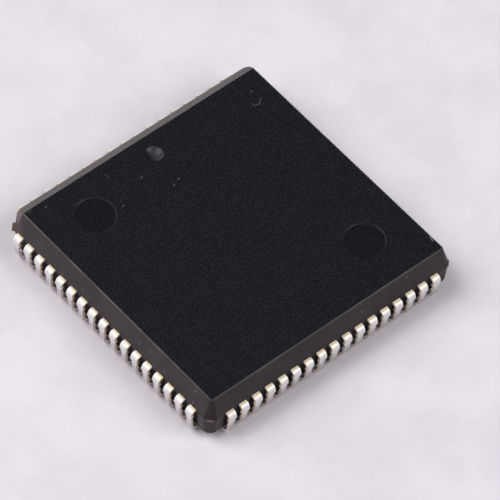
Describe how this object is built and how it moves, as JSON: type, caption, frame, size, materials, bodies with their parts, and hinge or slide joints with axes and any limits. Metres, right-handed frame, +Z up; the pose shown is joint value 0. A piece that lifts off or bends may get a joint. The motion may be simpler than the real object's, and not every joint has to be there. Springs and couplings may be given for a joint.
{
  "type": "plastic leaded chip carrier",
  "caption": "Square black moulded chip carrier with plated J-leads along all four sides, a bevelled pin 1 edge, an index corner and a dimple. It is soldered to a board or put in a socket.",
  "frame": {"origin": "middle of the package on its seating plane, at the lowest points of the lead curls", "axes": "+Z up out of the top face, +Y towards the bevelled pin 1 side, +X to the right when the top is seen with pin 1 away from the viewer; the index corner is at -X +Y"},
  "size_m": [0.025, 0.025, 0.0044],
  "materials": {
    "epoxy": "matte moulded epoxy, finely etched",
    "plated_lead": "satin tin plating over copper alloy",
    "copper": "bare copper alloy, cut",
    "adhesive": "cured silver-filled paste",
    "silicon": "polished",
    "gold": "bright drawn wire"
  },
  "bodies": {
    "root": {"package_body": "epoxy", "leads_front": "plated_lead", "leads_right": "plated_lead", "leads_back": "plated_lead", "leads_left": "plated_lead", "die_pad": "copper", "die_attach": "adhesive", "die": "silicon", "wires_front": "gold", "wires_right": "gold", "wires_back": "gold", "wires_left": "gold"}
  },
  "joints": []
}
